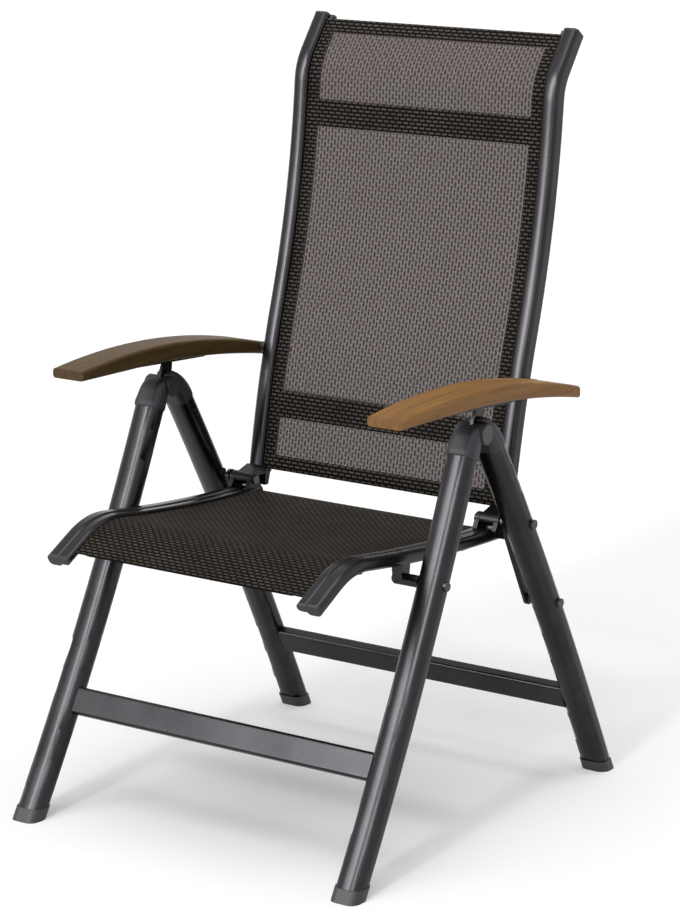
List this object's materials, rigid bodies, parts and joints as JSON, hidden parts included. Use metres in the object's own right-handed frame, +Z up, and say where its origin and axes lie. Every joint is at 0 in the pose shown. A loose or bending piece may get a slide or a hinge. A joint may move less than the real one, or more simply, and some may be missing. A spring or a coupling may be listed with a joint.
{
  "type": "reclining garden armchair",
  "caption": "Folding high-back garden armchair with crossed tubular legs, sling seat and back, wooden armrests and a stepped recline.",
  "frame": {"origin": "on the floor, at the middle of the open chair, between its four feet", "axes": "+X is the sitter's left, +Y points to the rear, +Z is up"},
  "size_m": [0.599, 0.6938, 1.0987],
  "materials": {
    "frame_coat": "anthracite powder coat over aluminium, satin",
    "knuckle_plastic": "moulded, fine grained",
    "cap_plastic": "moulded, matt",
    "hinge_coat": "black powder coat over aluminium, satin",
    "fixing_steel": "dark plated",
    "teak": "oiled, long grain",
    "plug_wood": "oiled end grain",
    "back_mesh": "open woven sling mesh",
    "seat_mesh": "close woven sling mesh",
    "rod_plastic": "extruded"
  },
  "bodies": {
    "front_frame": {"front_leg_left": "frame_coat", "front_leg_right": "frame_coat", "front_crossbar": "frame_coat", "front_foot_cap_left": "cap_plastic", "front_foot_cap_right": "cap_plastic", "front_knuckle_left": "knuckle_plastic", "front_knuckle_right": "knuckle_plastic", "arm_post_left": "frame_coat", "arm_post_right": "frame_coat", "rest_pins": "fixing_steel", "knuckle_pins": "fixing_steel", "front_bolts": "fixing_steel"},
    "rear_frame": {"rear_leg_left": "frame_coat", "rear_leg_right": "frame_coat", "rear_crossbar": "frame_coat", "rear_foot_cap_left": "cap_plastic", "rear_foot_cap_right": "cap_plastic", "rear_knuckle_left": "knuckle_plastic", "rear_knuckle_right": "knuckle_plastic", "rear_rivets": "fixing_steel"},
    "seat": {"seat_rail_left": "frame_coat", "seat_rail_right": "frame_coat", "seat_front_cap_left": "cap_plastic", "seat_front_cap_right": "cap_plastic", "seat_fork_left": "hinge_coat", "seat_fork_right": "hinge_coat", "seat_bracket_left": "frame_coat", "seat_bracket_right": "frame_coat", "seat_sling": "seat_mesh", "seat_sling_rods": "rod_plastic", "seat_front_spreader": "frame_coat", "seat_rear_spreader": "frame_coat"},
    "back_hub": {"pivot_bolt_left": "fixing_steel", "pivot_bolt_right": "fixing_steel"},
    "backrest": {"back_rail_left": "frame_coat", "back_rail_right": "frame_coat", "back_top_cap_left": "cap_plastic", "back_top_cap_right": "cap_plastic", "back_lug_left": "hinge_coat", "back_lug_right": "hinge_coat", "back_sling": "back_mesh", "back_sling_rods": "rod_plastic", "head_spreader": "frame_coat", "lumbar_spreader": "frame_coat"},
    "link_left": {"back_link_left": "frame_coat"},
    "arm_pin_left": {"arm_bolt_left": "fixing_steel"},
    "arm_sleeve_left": {"arm_bush_left": "cap_plastic"},
    "arm_left": {"armrest_left": "teak", "notch_rail_left": "frame_coat", "arm_plug_left": "plug_wood"},
    "link_right": {"back_link_right": "frame_coat"},
    "arm_pin_right": {"arm_bolt_right": "fixing_steel"},
    "arm_sleeve_right": {"arm_bush_right": "cap_plastic"},
    "arm_right": {"armrest_right": "teak", "notch_rail_right": "frame_coat", "arm_plug_right": "plug_wood"}
  },
  "joints": [
    {"name": "fold", "type": "hinge", "parent": "front_frame", "child": "rear_frame", "pos_m": [0, -0.01653, 0.578], "axis": [-1, 0, 0], "range_deg": [0, 54]},
    {"name": "seat_fold", "type": "hinge", "parent": "front_frame", "child": "seat", "pos_m": [0, -0.11954, 0.387], "axis": [-1, 0, 0], "range_deg": [0, 71]},
    {"name": "back_hub_fold", "type": "hinge", "parent": "seat", "child": "back_hub", "pos_m": [0, 0.11247, 0.42], "axis": [-1, 0, 0], "range_deg": [-71, 0]},
    {"name": "recline", "type": "hinge", "parent": "back_hub", "child": "backrest", "pos_m": [0, 0.11247, 0.42], "axis": [-1, 0, 0], "range_deg": [0, 35]},
    {"name": "link_fold_left", "type": "hinge", "parent": "seat", "child": "link_left", "pos_m": [0.2425, 0.11247, 0.42], "axis": [-1, 0, 0], "range_deg": [0, 78.7]},
    {"name": "arm_fold_left", "type": "hinge", "parent": "backrest", "child": "arm_pin_left", "pos_m": [0.2, 0.19351, 0.60413], "axis": [-1, 0, 0], "range_deg": [0, 86.2]},
    {"name": "arm_level_left", "type": "hinge", "parent": "arm_pin_left", "child": "arm_sleeve_left", "pos_m": [0.25, 0.19351, 0.60413], "axis": [-1, 0, 0], "range_deg": [-20.8, 0]},
    {"name": "arm_lift_left", "type": "hinge", "parent": "arm_sleeve_left", "child": "arm_left", "pos_m": [0.268, 0.19351, 0.60413], "axis": [-1, 0, 0], "range_deg": [0, 25]},
    {"name": "link_fold_right", "type": "hinge", "parent": "seat", "child": "link_right", "pos_m": [-0.2425, 0.11247, 0.42], "axis": [-1, 0, 0], "range_deg": [0, 78.7]},
    {"name": "arm_fold_right", "type": "hinge", "parent": "backrest", "child": "arm_pin_right", "pos_m": [-0.2, 0.19351, 0.60413], "axis": [-1, 0, 0], "range_deg": [0, 86.2]},
    {"name": "arm_level_right", "type": "hinge", "parent": "arm_pin_right", "child": "arm_sleeve_right", "pos_m": [-0.25, 0.19351, 0.60413], "axis": [-1, 0, 0], "range_deg": [-20.8, 0]},
    {"name": "arm_lift_right", "type": "hinge", "parent": "arm_sleeve_right", "child": "arm_right", "pos_m": [-0.268, 0.19351, 0.60413], "axis": [-1, 0, 0], "range_deg": [0, 25]}
  ],
  "couplings": [
    {"joint": "seat_fold", "follows": "fold", "ratio": 1.3119},
    {"joint": "back_hub_fold", "follows": "fold", "ratio": -1.3119},
    {"joint": "link_fold_left", "follows": "fold", "ratio": 1.4555},
    {"joint": "arm_fold_left", "follows": "fold", "ratio": 1.5926},
    {"joint": "arm_level_left", "follows": "recline", "ratio": -0.59},
    {"joint": "link_fold_right", "follows": "fold", "ratio": 1.4555},
    {"joint": "arm_fold_right", "follows": "fold", "ratio": 1.5926},
    {"joint": "arm_level_right", "follows": "recline", "ratio": -0.59}
  ]
}
